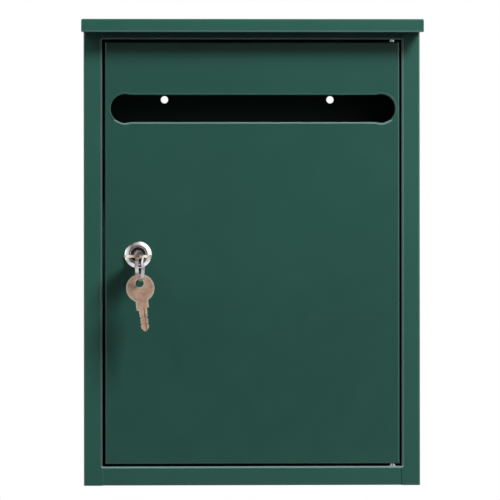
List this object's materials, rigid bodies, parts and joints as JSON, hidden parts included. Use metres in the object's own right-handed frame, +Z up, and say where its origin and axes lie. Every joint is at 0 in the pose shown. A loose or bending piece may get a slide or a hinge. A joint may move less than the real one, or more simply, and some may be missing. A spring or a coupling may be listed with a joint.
{
  "type": "wall mounted post box",
  "caption": "Wall-mounted letter box of folded sheet steel: hinged door with a wide letter slot, drip lid, cam lock, and keys on a split ring.",
  "frame": {"origin": "middle of the four wall holes, on the back face that lies against the wall", "axes": "+X to the viewer's right, +Y into the wall, +Z up; the door faces -Y"},
  "size_m": [0.262, 0.1308, 0.3586],
  "materials": {
    "green_paint": "satin dark blue-green stoved paint",
    "zinc_steel": "bright zinc plate",
    "chrome_plate": "bright chrome plate on a zinc casting",
    "dark_plate": "plated zinc, worn grey",
    "brass_sheet": "stamped brass",
    "key_metal": "copper-brown brass with paler plated edges",
    "ring_steel": "nickel plated spring steel wire"
  },
  "bodies": {
    "cabinet": {"cabinet_shell": "green_paint", "top_panel": "green_paint", "bottom_panel": "green_paint", "lid": "green_paint", "hinge_pin_top": "zinc_steel", "hinge_pin_bottom": "zinc_steel", "hinge_washer_bottom": "zinc_steel"},
    "door": {"door": "green_paint", "hinge_washer_top": "zinc_steel", "lock_body": "chrome_plate", "lock_star_washer": "zinc_steel", "lock_nut": "zinc_steel"},
    "plug": {"lock_plug": "dark_plate", "lock_wafers": "brass_sheet", "lock_stop_washer": "zinc_steel", "lock_cam": "zinc_steel", "cam_spring_washer": "zinc_steel", "cam_screw": "zinc_steel"},
    "key": {"key_in_lock": "key_metal"},
    "ring": {"key_ring": "ring_steel"},
    "spare": {"spare_key": "key_metal"}
  },
  "joints": [
    {"name": "door_hinge", "type": "hinge", "parent": "cabinet", "child": "door", "pos_m": [0.1089, -0.086, 0], "axis": [0, 0, 1], "range_deg": [0, 110]},
    {"name": "lock_turn", "type": "hinge", "parent": "door", "child": "plug", "pos_m": [-0.0879, -0.09, -0.001], "axis": [0, 1, 0], "range_deg": [0, 90]},
    {"name": "key_slide", "type": "slide", "parent": "plug", "child": "key", "axis": [0, -1, 0], "range_m": [0, 0.018]},
    {"name": "ring_swing", "type": "hinge", "parent": "key", "child": "ring", "pos_m": [-0.08717, -0.11546, -0.0012], "axis": [-0.9703, -0.2419, 0], "range_deg": [0, 55]},
    {"name": "spare_key_swing", "type": "hinge", "parent": "ring", "child": "spare", "pos_m": [-0.08621, -0.11934, -0.02246], "axis": [0, 1, 0], "range_deg": [-60, 60]}
  ]
}
